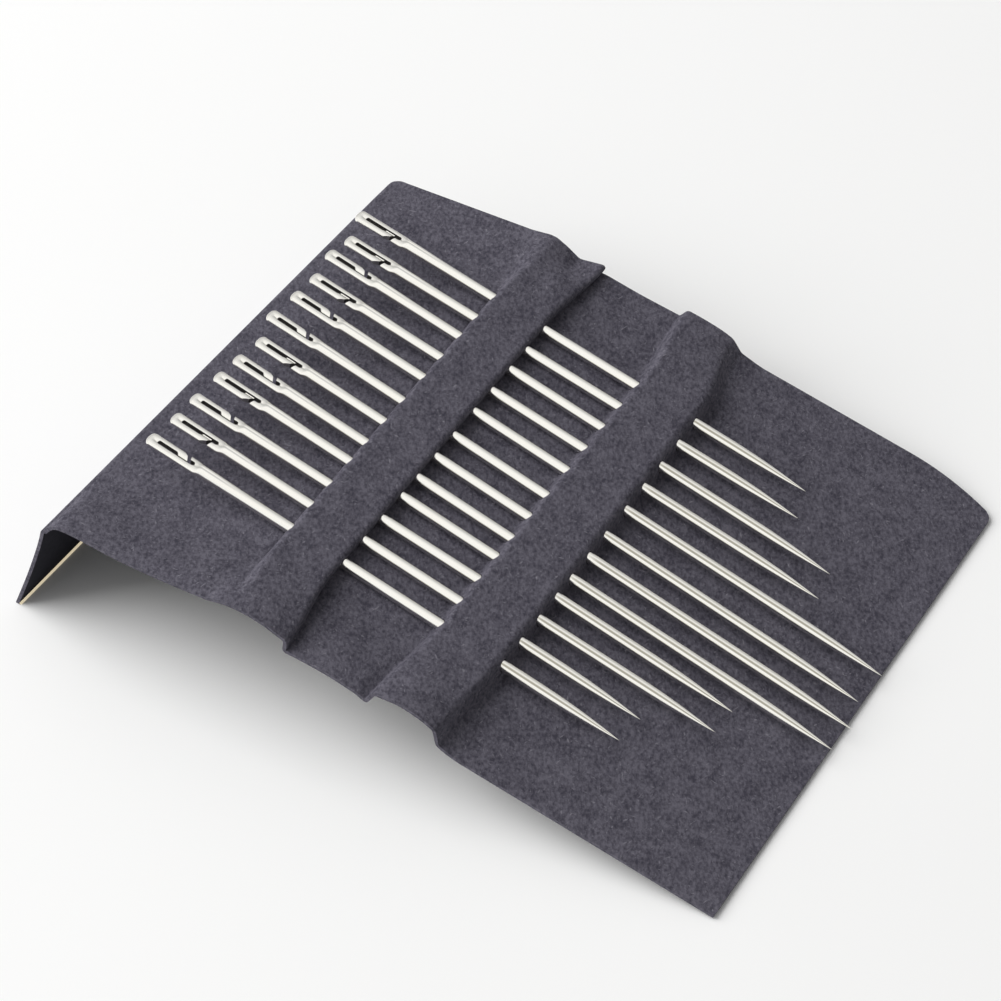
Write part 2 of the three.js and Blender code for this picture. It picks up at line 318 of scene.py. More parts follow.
def cream_core():
    material, graph, shader = new_material("cream_core")
    grain = noise(graph, millimetres(graph), CREAM_PATCHES_PER_MM)
    graph.feed(shader, {"Base Color": graph.mix(grain, CREAM_DEEP, CREAM_PALE), "Roughness": 0.9})
    # Painted light: a weak glow lifts the margin out of the shade it lies in.
    graph.feed(shader, {"Emission Color": CREAM_PAINTED_GLOW_TINT, "Emission Strength": CREAM_PAINTED_GLOW})
    return material


BACK_SHADE_FINISH = shaded_black_back()
CREAM_FINISH = cream_core()
print("other finishes of the card:", BACK_SHADE_FINISH.name, CREAM_FINISH.name)

# %% [markdown]
# The needles are nickel-plated and polished along their length, so the finest scratches run that way.
# The noise is squeezed along the row's own direction and only changes the roughness of the metal by
# a little. A dull grey line along the upper side of the last stretch before the point is a painted
# reflection, and the inside of the eye is painted dark, partly as unpolished metal and partly as painted
# shade. The needles' own meshes carry both as attributes.

# %% Make the polished steel
NEEDLE_NAMES = sorted(name for name in NODES if name.startswith("needle"))
NEEDLE_WAYS = {name: Vector(JOINTS[f"{name}_slide"]["axis"]) for name in NEEDLE_NAMES}
ROW_WAY = sum(NEEDLE_WAYS.values(), Vector()).normalized()
STEEL_COOL = (0.95, 0.935, 0.89, 1)
STEEL_WARM = (0.97, 0.945, 0.87, 1)
# The grey line before the point is a painted reflection.
STEEL_REFLECTION_GREY = (0.37, 0.35, 0.28, 1)
# The eye's walls are darker partly as unpolished metal and partly as painted shade.
STEEL_DULL_AND_SHADED = (0.14, 0.13, 0.115, 1)
PATCHES_PER_MM = 0.35
SCRATCHES_PER_MM = 14.0
SCRATCH_SQUEEZE = 0.96
POLISH = 0.1
SCRATCH_ROUGHNESS = 0.16
EYE_ROUGHNESS = 0.4


def polished_steel():
    material, graph, shader = new_material("polished_steel")
    place = millimetres(graph)
    along = graph.dot(place, ROW_WAY) * -SCRATCH_SQUEEZE
    back = graph.add("ShaderNodeVectorMath", {"operation": "SCALE"}, {0: tuple(ROW_WAY), "Scale": along})
    squeezed = graph.add("ShaderNodeVectorMath", {"operation": "ADD"}, {0: place, 1: back})
    scratches = noise(graph, squeezed, SCRATCHES_PER_MM, detail=3, roughness=0.7)
    reflection_mark = graph.add("ShaderNodeAttribute", {"attribute_name": "ground_line"}, out="Fac")
    inside = graph.add("ShaderNodeAttribute", {"attribute_name": "dull_eye"}, out="Fac")
    colour = graph.mix(noise(graph, place, PATCHES_PER_MM), STEEL_COOL, STEEL_WARM)
    # Painted reflection: a grey line along the upper side before the point.
    colour = graph.mix(reflection_mark, colour, STEEL_REFLECTION_GREY)
    # Partly unpolished metal, partly painted shade inside the eye.
    colour = graph.mix(inside, colour, STEEL_DULL_AND_SHADED)
    roughness = POLISH + scratches * SCRATCH_ROUGHNESS + inside * EYE_ROUGHNESS
    graph.feed(shader, {"Base Color": colour, "Roughness": roughness, "Metallic": 1.0})
    return material


STEEL_FINISH = polished_steel()
print("needle finish:", STEEL_FINISH.name)

# %% [markdown]
# Everything flat lies in one tilted plane, the bed: u runs down its slope, y along the folds and w
# straight up from it, with w = 0 at the needles' own axes. The frame gives all of this: a mount's axis
# is the bed's normal, the joints give the creases, and the corners of the CAD nodes give the rest.

# %% Find the bed in the frame
BAND_FOOT = 0.4
BED_UP = -Vector(frame["record"]["mounts"][0]["axis"])
BED_ACROSS = Vector((0, 1, 0))
BED_ALONG = BED_ACROSS.cross(BED_UP)
BED_AXES = np.array([BED_ALONG, BED_ACROSS, BED_UP])


def extremes(node, way):
    """The first and the last corner of a CAD node along a direction."""
    corners = [vertex.co.copy() for vertex in NODES[node].data.vertices]
    return min(corners, key=way.dot), max(corners, key=way.dot)


NEEDLE_ENDS = {name: extremes(name, NEEDLE_WAYS[name]) for name in NEEDLE_NAMES}
band_start = BED_ALONG.dot(extremes("second_band", BED_ALONG)[0]) + BAND_FOOT * MM
needle_height = BED_UP.dot(NEEDLE_ENDS["needle_01"][0])
BED_ORIGIN = BED_ALONG * band_start + BED_UP * needle_height
BED = Matrix.Translation(BED_ORIGIN) @ Matrix(BED_AXES).transposed().to_4x4() @ Matrix.Scale(MM, 4)
print("bed starts at", [round(x / MM, 2) for x in BED_ORIGIN], "mm")

# %% [markdown]
# With the bed in place, its creases, levels and borders are read from the frame in the bed's own
# millimetres, so that the sheet keeps to the CAD model and nothing is measured a second time.

# %% Read the card's sizes in the bed
PAPER = 0.25


def in_bed(point):
    """A point of the frame as (u, y, w) in the bed, in millimetres."""
    return BED_AXES @ (np.array(point) - np.array(BED_ORIGIN)) / MM


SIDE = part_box("middle_panel")[1].y / MM
EYE_CREASE = in_bed(JOINTS["eye_panel_fold"]["pos_m"])[[0, 2]]
FLAP_FOLD = in_bed(JOINTS["prop_flap_fold"]["pos_m"])[[0, 2]]
POINT_CREASE = in_bed(JOINTS["point_panel_fold"]["pos_m"])[[0, 2]]
BAND_TOP = in_bed(extremes("first_band", BED_UP)[1])[2] - PAPER / 2
MIDDLE_LEVEL = EYE_CREASE[1] + PAPER / 2
POINT_LEVEL = POINT_CREASE[1] + PAPER / 2
POINT_EDGE = in_bed(extremes("point_panel", BED_ALONG)[1])[0]
NEEDLE_PATHS = np.array([BED_AXES @ np.array(NEEDLE_WAYS[name]) for name in NEEDLE_NAMES])
NEEDLE_EYES = np.array([in_bed(NEEDLE_ENDS[name][0]) for name in NEEDLE_NAMES])
print("creases at u =", EYE_CREASE[0].round(2), POINT_CREASE[0].round(2), "half width", round(SIDE, 2))

# %% [markdown]
# The card is one sheet, so its bent section is drawn once, from the foot of the prop flap to the free
# edge past the points. The section isn't the same all along the folds. In the row of needles the two
# bands stand up almost square; at the near edge they relax into soft humps, and at the far edge the
# first band is pressed into a dip before its tip turns up. Each corner therefore has three places.

# %% List the corners of the section
# Name, place (u, w) in the row, at the near edge and at the far edge, rounding, steps to the next corner.
SECTION = [
    ("eye crease", (EYE_CREASE[0] - 0.05, MIDDLE_LEVEL), (-12.2, 0.2), (-12.3, -0.18), 0.1, 2),
    ("crease seam", (-11.5, MIDDLE_LEVEL), (-11.4, 0.56), (-11.4, 0.14), 0, 2),
    ("first wall foot", (-11.36, MIDDLE_LEVEL), (-10.95, 0.72), (-10.95, 0.3), 0.11, 6),
    ("first wall top", (-10.92, BAND_TOP), (-10.4, 0.86), (-10.5, 0.36), 0.2, 5),
    ("first band", (-9.3, BAND_TOP), (-9.3, 1.0), (-9.5, 0.06), 0.4, 3),
    ("first band dip", (-8.3, BAND_TOP), (-8.0, 0.94), (-8.5, -0.4), 0.3, 5),
    ("first band tip", (-7.2, BAND_TOP), (-6.5, 0.62), (-6.62, 0.3), 0.24, 6),
    ("return foot", (-7.4, MIDDLE_LEVEL), (-6.45, -0.36), (-6.85, -0.52), 0.24, 2),
    ("middle start", (-6.6, MIDDLE_LEVEL), (-5.85, -0.24), (-6.2, -0.46), 0.2, 6),
    ("middle", (-3.6, MIDDLE_LEVEL), (-3.6, -0.04), (-3.6, -0.5), 1.0, 6),
    ("middle end", (-0.9, MIDDLE_LEVEL), (-1.3, -0.16), (-1.3, -0.4), 0.3, 3),
    ("second wall foot", (0.0, MIDDLE_LEVEL), (-0.45, -0.42), (-0.45, -0.36), 0.2, 6),
    ("second wall top", (0.6, BAND_TOP), (-0.05, 0.7), (-0.03, 0.5), 0.2, 6),
    ("second band", (1.6, BAND_TOP), (1.7, 1.12), (1.2, 0.52), 0.5, 3),
    ("second band end", (3.2, BAND_TOP), (3.25, 1.02), (2.6, 0.44), 0.5, 5),
    ("fall top", (4.65, BAND_TOP), (4.3, 0.68), (3.45, 0.26), 0.25, 7),
    ("fall base", (5.1, POINT_LEVEL), (4.75, -0.5), (4.3, -0.56), 0.22, 3),
    ("base seam", (5.5, POINT_LEVEL), (5.5, -0.7), (5.5, -0.78), 0, 2),
    ("point crease", (6.2, POINT_LEVEL), (6.2, -0.8), (6.2, -0.86), 0.2, 48),
    ("free edge", (POINT_EDGE, POINT_LEVEL), (POINT_EDGE, -0.86), (POINT_EDGE, POINT_LEVEL), 0, 0),
]
MARKS = [row[0] for row in SECTION]
PLACES = np.array([row[1:4] for row in SECTION])
ROUNDING = [row[4] for row in SECTION]
STEPS = [row[5] for row in SECTION]
print("corners from the eye crease to the free edge:", len(SECTION))

# %% [markdown]
# The prop flap needs no list: it hangs from its fold in one gentle curve down to the table, so a power
# of the height gives its form. Its fold runs slightly askew across the card, and the joint's axis tells
# by how much.

# %% Hang the flap from its fold
FLAP_FLARE = 2.8
FLAP_CURVE = 1.15
FLAP_STEPS = 14
FLAP_TOP_SHARE = 0.06
CREAM_MARGIN = 0.16
FOLD_SEAM = 0.9


def flap_and_fold(y):
    """The corners of the prop flap, from its foot up, then the fold and the seam beside it, at each y."""
    reach = np.linalg.norm(FLAP_FOLD - EYE_CREASE)
    outward = (FLAP_FOLD - EYE_CREASE) / reach
    start = EYE_CREASE + np.array([outward[1], -outward[0]]) * PAPER / 2
    axis = JOINTS["prop_flap_fold"]["axis"]
    length = reach - y[:, None] * axis[0] / axis[1]
    corner = start + outward * (length + PAPER / 2)
    left = -BED_AXES[[0, 2], 0]
    down = -BED_AXES[[0, 2], 2]
    height = (BED_ORIGIN.z / MM - corner @ down)[:, None]
    upper = np.linspace(1 - CREAM_MARGIN / height.mean(), FLAP_TOP_SHARE, FLAP_STEPS)
    shares = np.concatenate([[1], upper])
    flap = [corner + left * FLAP_FLARE * share**FLAP_CURVE + down * height * share for share in shares]
    return flap + [corner, start + outward * (length - FOLD_SEAM)]


print("corners of the flap and its fold:", len(flap_and_fold(np.zeros(1))))

# %% [markdown]
# Across the card each corner eases from one of its places to the next. On the far side the first wall
# fades early and the dip comes late, close to the border. Bent paper has no sharp corners, so a short
# curve rounds off each bend.

# %% Ease and round the section
ROW_HALF = 13.4
CORNER_STEPS = 5


def smooth(share):
    share = np.clip(share, 0, 1)
    return share * share * (3 - 2 * share)


def margin_share(y):
    """0 in the row of needles and 1 at the far border, or at the near one for -y."""
    return smooth((y - ROW_HALF) / (SIDE - ROW_HALF))


def card_corners(y):
    """Every corner of the section at each place y across the card, in order along the paper."""
    near = margin_share(-y)[:, None]
    far = margin_share(y)[:, None]
    early = 1 - (1 - far) ** 2
    pace = {"first wall foot": early, "first wall top": early, "first band dip": far**3}
    bed = []
    for mark, (row, edge, other) in zip(MARKS, PLACES):
        bed.append(row + near * (edge - row) + pace.get(mark, far) * (other - row))
    return np.stack(flap_and_fold(y) + bed, axis=1)


def round_path(corners, rounding, steps):
    """Points along the corners with each one rounded off, and the number of points before each corner."""

    def toward(i, j):
        way = corners[:, j] - corners[:, i]
        return corners[:, i] + way * (rounding[i] / np.linalg.norm(way, axis=1))[:, None]

    points, counts = [], [0]
    leave = corners[:, 0]
    for i in range(1, corners.shape[1]):
        arrive = toward(i, i - 1) if rounding[i] else corners[:, i]
        points += [leave + (arrive - leave) * k / steps[i - 1] for k in range(steps[i - 1])]
        counts.append(len(points))
        leave = toward(i, i + 1) if rounding[i] else corners[:, i]
        for k in range(CORNER_STEPS if rounding[i] else 0):
            t = k / CORNER_STEPS
            points.append(arrive * (1 - t) ** 2 + corners[:, i] * 2 * t * (1 - t) + leave * t * t)
    points.append(corners[:, -1])
    return np.stack(points, axis=0), counts


print("corners in the whole section:", card_corners(np.zeros(1)).shape[1])

# %% [markdown]
# The section is swept across the card into a grid of points. Its columns lie closer in the row of
# needles, where the holes and their rims need them. Numpy reckons with the whole grid at once, which is
# quick and keeps the later steps short.

# %% Lay out the columns of the grid
ROW_COLUMNS = 224
MARGIN_COLUMNS = 24
TINY = 1e-9


def columns():
    row = np.linspace(-ROW_HALF, ROW_HALF, ROW_COLUMNS)
    margin = np.linspace(ROW_HALF, SIDE, MARGIN_COLUMNS)
    return np.concatenate([-margin[:0:-1], row, margin[1:]])


def needle_y(u):
    """Where each needle's axis lies across the card, at the places u."""
    run = (np.asarray(u)[..., None] - NEEDLE_EYES[:, 0]) / NEEDLE_PATHS[:, 0]
    return NEEDLE_EYES[:, 1] + run * NEEDLE_PATHS[:, 1]


def unit(vectors):
    return vectors / np.maximum(np.linalg.norm(vectors, axis=-1, keepdims=True), TINY)


def grid_normals(grid):
    """Upward normals of a grid of points, from the directions to the neighbours before and after."""
    tangents = []
    for axis in (0, 1):
        step = unit(np.diff(grid, axis=axis))
        ends = [step.take([0], axis), step.take([-1], axis)]
        before = np.concatenate([ends[0], step], axis)
        after = np.concatenate([step, ends[1]], axis)
        tangents.append(before + after)
    return unit(np.cross(*tangents))


print("columns across the card:", len(columns()))

# %% [markdown]
# Where a needle goes through a wall, the paper gives way a little: its upper edge is pushed along by the
# needle, and the rim of the hole stands proud. Both are small moves of the grid's own points, so the
# sheet stays in one piece.

# %% Let the paper give way at the needles
HOLE_RADIUS = 0.42
SCALLOP_WIDTH = 0.6
SCALLOP_FADE = 0.7
LIP = 0.06
LIP_WIDTH = 0.12


def scallop(grid, first, last, wall, depth):
    """Pushes the upper edge of a wall along the needles where they go through it."""
    part = grid[first:last]
    offset = part[..., 1, None] - needle_y(part[..., 0])
    bump = np.maximum(1 - (offset / SCALLOP_WIDTH) ** 2, 0).sum(axis=-1)
    lift = smooth((part[..., 2] - MIDDLE_LEVEL) / (BAND_TOP - MIDDLE_LEVEL))
    fade = np.exp(-(np.maximum(part[..., 0] - wall, 0) / SCALLOP_FADE) ** 2)
    part[..., 0] += depth * bump * lift * fade


def raise_lips(grid, first, last):
    """Lets the paper stand proud round each hole."""
    part = grid[first:last]
    offset = part[..., 1, None] - needle_y(part[..., 0])
    distance = np.hypot(offset, part[..., 2, None]).min(axis=-1)
    rim = np.exp(-(((distance - HOLE_RADIUS) / LIP_WIDTH) ** 2))
    part += grid_normals(grid)[first:last] * (LIP * rim)[..., None]


print("holes", 2 * HOLE_RADIUS, "mm across")

# %% [markdown]
# The borders show that the card was cut and handled. The near border of the eye panel curls up beside
# the flap's fold. On the far side the corners at that fold and past the points are rounded, and the
# border curves in a little before the second of them.

# %% Curl and round the borders
ARCH = 1.08
ARCH_PEAK = 0.2
FOLD_CORNER = 0.8
POINT_CORNER = 1.3
BORDER_CURVE = 0.9
BORDER_CURVE_LENGTH = 6.0
CORNER_SPREAD = 3.0


def arch_near_border(grid, fold, crease):
    """Lets the near border of the eye panel curl up beside the prop flap's fold."""
    part = grid[fold:crease]
    share = np.linspace(0, 1, crease - fold)[:, None]
    arch = share / ARCH_PEAK * np.exp(1 - share / ARCH_PEAK) * (1 - share)
    part[..., 2] += ARCH * arch * margin_share(-part[..., 1])


def rounded_off(radius, past):
    """How far a round corner lies inside a square one, at a distance past the start of its rounding."""
    return radius - np.sqrt(np.maximum(radius**2 - past**2, 0))


def round_far_corners(grid, fold, base):
    """Rounds the far corners at the fold and past the points, where the border also curves in."""
    y = grid[..., 1]
    spread = smooth((y - (SIDE - CORNER_SPREAD)) / CORNER_SPREAD)
    from_fold = np.linalg.norm(grid[:, -1] - grid[fold, -1], axis=-1)
    gap = np.clip(FOLD_CORNER - from_fold, 0, FOLD_CORNER)
    gap[:fold] = FOLD_CORNER
    from_edge = grid[-1, -1, 0] - grid[:, -1, 0]
    cut = rounded_off(FOLD_CORNER, gap)
    cut += BORDER_CURVE * np.clip(1 - from_edge / BORDER_CURVE_LENGTH, 0, 1) ** 2
    pull = rounded_off(POINT_CORNER, np.maximum(y[-1] - (SIDE - POINT_CORNER), 0))
    run = (grid[base:, :, 0] - grid[base, :, 0]) / (grid[-1, :, 0] - grid[base, :, 0])
    grid[base:, :, 0] -= run * pull
    grid[..., 1] -= cut[:, None] * spread


print("far corners rounded by", FOLD_CORNER, "and", POINT_CORNER, "mm")

# %% [markdown]
# Now the sweep itself. It notes the grid's row at each corner of the section, because the later steps
# cut, pierce and hang the sheet by those names.

# %% Sweep the section into a grid
FOLD_ROUND = 0.22
FOLD_STEPS = [3, 6, 40]
FIRST_WALL = -11
FIRST_SCALLOP = 0.14
SECOND_WALL = 0.2
SECOND_SCALLOP = 0.16
SEAM_ROWS = 2


def sweep():
    """The card's middle surface as a grid of (u, y, w), and the grid row at each mark of the section."""
    y = columns()
    flap = FLAP_STEPS + 1
    rounding = [0] * flap + [FOLD_ROUND, 0] + ROUNDING
    steps = [1] * (flap - 1) + FOLD_STEPS + STEPS
    path, counts = round_path(card_corners(y), rounding, steps)
    grid = np.stack([path[..., 0], np.broadcast_to(y, path.shape[:2]), path[..., 1]], axis=-1)
    marks = {"fold": counts[flap], "fold seam": counts[flap + 1]}
    marks.update(zip(MARKS, counts[flap + 2 :]))
    arch_near_border(grid, marks["fold"] + CORNER_STEPS, marks["eye crease"])
    scallop(grid, marks["crease seam"], marks["first band dip"], FIRST_WALL, FIRST_SCALLOP)
    scallop(grid, marks["middle end"], marks["second band end"], SECOND_WALL, SECOND_SCALLOP)
    raise_lips(grid, marks["crease seam"] + SEAM_ROWS, marks["first band"])
    raise_lips(grid, marks["middle end"], marks["second band"])
    raise_lips(grid, marks["second band end"], marks["base seam"] - SEAM_ROWS)
    round_far_corners(grid, marks["fold"] + CORNER_STEPS // 2, marks["base seam"])
    return grid, marks


GRID, MARK_ROWS = sweep()
print("grid rows and columns:", GRID.shape[:2])

# %% [markdown]
# The middle surface gets the paper's thickness by stepping half of it along the normals to each side. A
# Solidify modifier would do the same, but the paper would fold into itself on the inside of the sharpest
# bends, so there the step is made shorter.

# %% Give the paper its thickness
FOLD_SQUEEZE = 0.8
LEAST = 1e-6


def paper_faces_apart():
    """The upper and the lower surface, the paper pressed thinner inside its sharpest folds."""
    normals = grid_normals(GRID)
    steps = np.diff(GRID, axis=0)
    bend = (np.diff(unit(steps), axis=0) * normals[1:-1]).sum(axis=-1)
    room = np.linalg.norm(steps[:-1] + steps[1:], axis=-1) / 2
    tight = np.zeros(GRID.shape[:2])
    tight[1:-1] = bend / np.maximum(room, LEAST)
    inner = np.minimum(FOLD_SQUEEZE / np.maximum(np.abs(tight), LEAST), PAPER / 2)
    above = np.where(tight > 0, inner, PAPER / 2)
    below = np.where(tight < 0, inner, PAPER / 2)
    return GRID + normals * above[..., None], GRID - normals * below[..., None]


UPPER, LOWER = paper_faces_apart()
print("thinnest fold:", np.linalg.norm(UPPER - LOWER, axis=-1).min().round(3), "mm")

# %% [markdown]
# The doubled grid is cut beside each crease, so that each piece can follow the panels that it belongs
# to. As the thickness was made on the whole grid, the pieces meet exactly at their seams.

# %% Cut the sheet into its panels
BACK_SHADE_INDEX = 1
CREAM_INDEX = 2


def face_grid(rows, count, offset=0):
    """Quads over a grid of rows times count points, as an array of four corner numbers."""
    first = np.arange(rows - 1)[:, None] * count + np.arange(count - 1)[None] + offset
    return np.stack([first, first + count, first + count + 1, first + 1], axis=-1).reshape(-1, 4)


def border_faces(rows, count):
    """Quads that close a doubled grid along its four borders."""
    number = np.arange(rows * count).reshape(rows, count)
    loops = [number[:, 0], number[-1, :], number[::-1, -1], number[0, ::-1]]
    ring = np.concatenate([loop[:-1] for loop in loops])
    after = np.roll(ring, -1)
    under = rows * count
    return np.stack([ring + under, after + under, after, ring], axis=-1)


def add_object(name, mesh):
    made = bpy.data.objects.new(name, mesh)
    bpy.context.scene.collection.objects.link(made)
    return made


def paper_sheet(name, first, last):
    """A closed sheet of paper over the grid's rows from first to last, in the bed's millimetres."""
    upper = UPPER[first : last + 1]
    lower = LOWER[first : last + 1]
    rows, count = upper.shape[:2]
    points = np.concatenate([upper, lower]).reshape(-1, 3)
    top = face_grid(rows, count)
    bottom = face_grid(rows, count, rows * count)[:, ::-1]
    faces = np.concatenate([top, bottom, border_faces(rows, count)])
    mesh = bpy.data.meshes.new(name)
    mesh.from_pydata(points.tolist(), [], faces.tolist())
    for finish in (PAPER_FINISH, BACK_SHADE_FINISH, CREAM_FINISH):
        mesh.materials.append(finish)
    finishes = np.zeros(len(faces), dtype=np.int32)
    # The lower faces get the back's painted shade.
    finishes[len(top) : 2 * len(top)] = BACK_SHADE_INDEX
    mesh.polygons.foreach_set("material_index", finishes)
    return add_object(name, mesh)


FLAP_SHEET = paper_sheet("flap_sheet", 0, MARK_ROWS["fold seam"])
EYE_SHEET = paper_sheet("eye_sheet", MARK_ROWS["fold seam"], MARK_ROWS["crease seam"])
BED_SHEET = paper_sheet("bed_sheet", MARK_ROWS["crease seam"], MARK_ROWS["base seam"])
POINT_SHEET = paper_sheet("point_sheet", MARK_ROWS["base seam"], len(GRID) - 1)
SHEETS = [FLAP_SHEET, EYE_SHEET, BED_SHEET, POINT_SHEET]
print("sheet faces:", [len(sheet.data.polygons) for sheet in SHEETS])

# %% [markdown]
# Each needle goes through four walls. The holes could be left out of the grid, but a boolean cut with
# twelve round rods is simpler and follows the needles' slight slant by itself. It is done in
# millimetres, because a boolean works less exactly on very small numbers.

# %% Pierce the bands
ROD_SIDES = 32
ROD_START = -12.0
ROD_END = 6.6


def rods():
    """Twelve round rods along the needles, over the width of both bands."""
    mesh = bmesh.new()
    middle = (ROD_START + ROD_END) / 2
    for y, path in zip(needle_y(middle), NEEDLE_PATHS):
        lean = Vector(path).to_track_quat("Z", "Y").to_matrix().to_4x4()
        place = Matrix.Translation((middle, y, 0)) @ lean
        bmesh.ops.create_cone(mesh, cap_ends=True, segments=ROD_SIDES, radius1=HOLE_RADIUS,
                              radius2=HOLE_RADIUS, depth=ROD_END - ROD_START, matrix=place)
    made = bpy.data.meshes.new("rods")
    mesh.to_mesh(made)
    mesh.free()
    return add_object("rods", made)


def settled(obj):
    """The object's mesh with its modifiers worked in, as a plain mesh of its own."""
    graph = bpy.context.evaluated_depsgraph_get()
    mesh = bpy.data.meshes.new_from_object(obj.evaluated_get(graph))
    obj.modifiers.clear()
    return mesh


def pierce(sheet):
    cutter = rods()
    cut = sheet.modifiers.new("holes", "BOOLEAN")
    cut.operation = "DIFFERENCE"
    cut.solver = "EXACT"
    cut.object = cutter
    sheet.data = settled(sheet)
    bpy.data.objects.remove(cutter)


pierce(BED_SHEET)
print("bed sheet after piercing:", len(BED_SHEET.data.polygons), "faces")

# %% [markdown]
# Now the sheets go from the bed's millimetres to the frame. Their creases are smooth bends and their cut
# edges are sharp, so smooth shading is kept only where faces meet at a small angle. The strip along the
# inside of the flap's free edge gets the pale finish, and its lower border is drawn in a little so that
# it shows.

# %% Set the sheets in the frame
CUT_ANGLE = math.radians(38)
CREAM_SPREAD = 0.19


def finish_mesh(obj, place):
    obj.data.transform(place)
    obj.data.shade_smooth()
    obj.data.set_sharp_from_angle(angle=CUT_ANGLE)


def bare_margin(flap):
    """Gives the strip inside the flap's free edge the cream finish and sets that edge on the table."""
    count = GRID.shape[1]
    rows = MARK_ROWS["fold seam"] + 1
    for number in range((rows - 1) * (count - 1), rows * (count - 1)):
        flap.data.polygons[number].material_index = CREAM_INDEX
    for number in range(rows * count, (rows + 1) * count):
        flap.data.vertices[number].co.x += CREAM_SPREAD * MM
    for vertex in flap.data.vertices:
        vertex.co.z = max(vertex.co.z, 0)


for sheet in SHEETS:
    finish_mesh(sheet, BED)
bare_margin(FLAP_SHEET)
print("sheets in the frame:", [sheet.name for sheet in SHEETS])

# %% [markdown]
# A self-threading needle has an eye that is open at one side. From above, the opening is one outline: a
# long slot, a narrow slit beside the springy arm, a drop-shaped end and the notch that lets the thread
# in. An outline of few points is easy to change, and pulled up to a block it cuts the eye out of the
# head.

# %% Draw the outline of the eye
HEAD_WIDTH = 1.02
SLOT_START = 0.72
SLOT_LENGTH = 1.46
SLOT_WIDTH = 0.3
ARM_SLOPE = 0.22
SLIT_LENGTH = 0.67
SLIT_WIDTH = 0.1
DROP_LENGTH = 0.54
DROP_WIDTH = 0.32
ARM_SLANT = 0.62
ARM_KNEE = 0.6
BARB_LEAN = 0.13
ARC_STEPS = 10


def arc(x, y, radius, start, end):
    """Points on part of a circle, its angles in degrees."""
    turns = np.radians(np.linspace(start, end, ARC_STEPS))
    return [(x + radius * math.cos(turn), y + radius * math.sin(turn)) for turn in turns]


def eye_outline():
    """The opening of the eye from above: slot, slit, drop and notch in one outline of (x, y) points."""
    half = SLOT_WIDTH / 2
    slot_end = SLOT_START + SLOT_LENGTH
    slit_start = slot_end + ARM_SLOPE
    arm_tip = slit_start + SLIT_LENGTH
    arm_top = SLIT_WIDTH - half
    drop = DROP_WIDTH / 2
    barb_root = arm_tip + DROP_LENGTH / 4
    edge = HEAD_WIDTH / 2
    slot_round = arc(SLOT_START + half, 0, half, 90, 270)
    drop_round = arc(arm_tip + DROP_LENGTH - drop, drop - half, drop, 270, 450)
    notch = [
        (barb_root, DROP_WIDTH - half),
        (barb_root - BARB_LEAN, edge),
        (barb_root - BARB_LEAN, HEAD_WIDTH),
        (arm_tip - ARM_SLANT, HEAD_WIDTH),
        (arm_tip - ARM_SLANT, edge),
        (arm_tip - ARM_SLANT / 3, arm_top + (edge - arm_top) * ARM_KNEE),
        (arm_tip, arm_top),
        (slit_start, arm_top),
        (slot_end, half),
    ]
    return slot_round + drop_round + notch


def eye_cutter():
    """A block over the eye's outline, taller than the head."""
    outline = eye_outline()
    count = len(outline)
    points = [(x, y, z) for z in (-HEAD_WIDTH, HEAD_WIDTH) for x, y in outline]
    walls = [(i, (i + 1) % count, (i + 1) % count + count, i + count) for i in range(count)]
    faces = walls + [tuple(range(count))[::-1], tuple(range(count, 2 * count))]
    mesh = bpy.data.meshes.new("eye_cutter")
    mesh.from_pydata(points, [], faces)
    return add_object("eye_cutter", mesh)


EYE_CUTTER = eye_cutter()
print("eye outline points:", len(eye_outline()))

# %% [markdown]
# The needle itself is a round shaft with a flattened head. Its form follows rules along its length, so
# one Geometry Nodes tree can make all twelve. Each size is a named input of that tree, and only the
# length and the side of the notch change from needle to needle.

# %% Name the sizes of a needle
NEEDLE_SIZES = {
    "Length": 36.0,
    "Shaft Diameter": 0.74,
    "Head Width": HEAD_WIDTH,
    "Head End": 0.36,
    "Head Thickness": 0.44,
    "Head Length": 3.75,
    "Head Squareness": 3.0,
    "Neck Width": 0.84,
    "Neck Length": 0.5,
    "Neck Taper": 3.75,
    "Point Length": 7.0,
    "Dish Depth": 0.06,
    "Dish Width": 0.2,
    "Gutter Depth": 0.045,
    "Gutter Width": 0.07,
    "Gutter Length": 8.0,
    "Reflection Line Start": 26.0,
    "Turn": 1.0,
}


def needle_graph():
    """An empty needle tree and its inputs as sockets, by their names."""
    tree = bpy.data.node_groups.new("self_threading_needle", "GeometryNodeTree")
    tree.interface.new_socket("Geometry", in_out="OUTPUT", socket_type="NodeSocketGeometry")
    tree.interface.new_socket("Geometry", in_out="INPUT", socket_type="NodeSocketGeometry")
    for name, size in NEEDLE_SIZES.items():
        tree.interface.new_socket(name, in_out="INPUT", socket_type="NodeSocketFloat").default_value = size
    tree.interface.new_socket("Eye", in_out="INPUT", socket_type="NodeSocketObject")
    tree.interface.new_socket("Metal", in_out="INPUT", socket_type="NodeSocketMaterial")
    graph = Graph(tree)
    given = graph.add("NodeGroupInput").output.node
    return graph, {output.name: Socket(graph, output) for output in given.outputs if output.name}


NEEDLE_GRAPH, SIZE = needle_graph()
print("inputs of the needle tree:", len(SIZE))

# %% [markdown]
# The round form comes first. A line is resampled, with its rings crowded towards both ends where the
# form changes most, and swept with a circle whose radius is a rule of the place: round end, head, neck,
# shaft and point.

# %% Sweep the round form
RINGS = 300
ROUND_SIDES = 56
RING_SPREAD = 0.88
POINT_CURVE = 2.5
END_CURVE = 2.3
LEAST_RADIUS = 0.004


def place_of(graph):
    """The x, y and z of each point as sockets."""
    return graph.parts(graph.add("GeometryNodeInputPosition"))


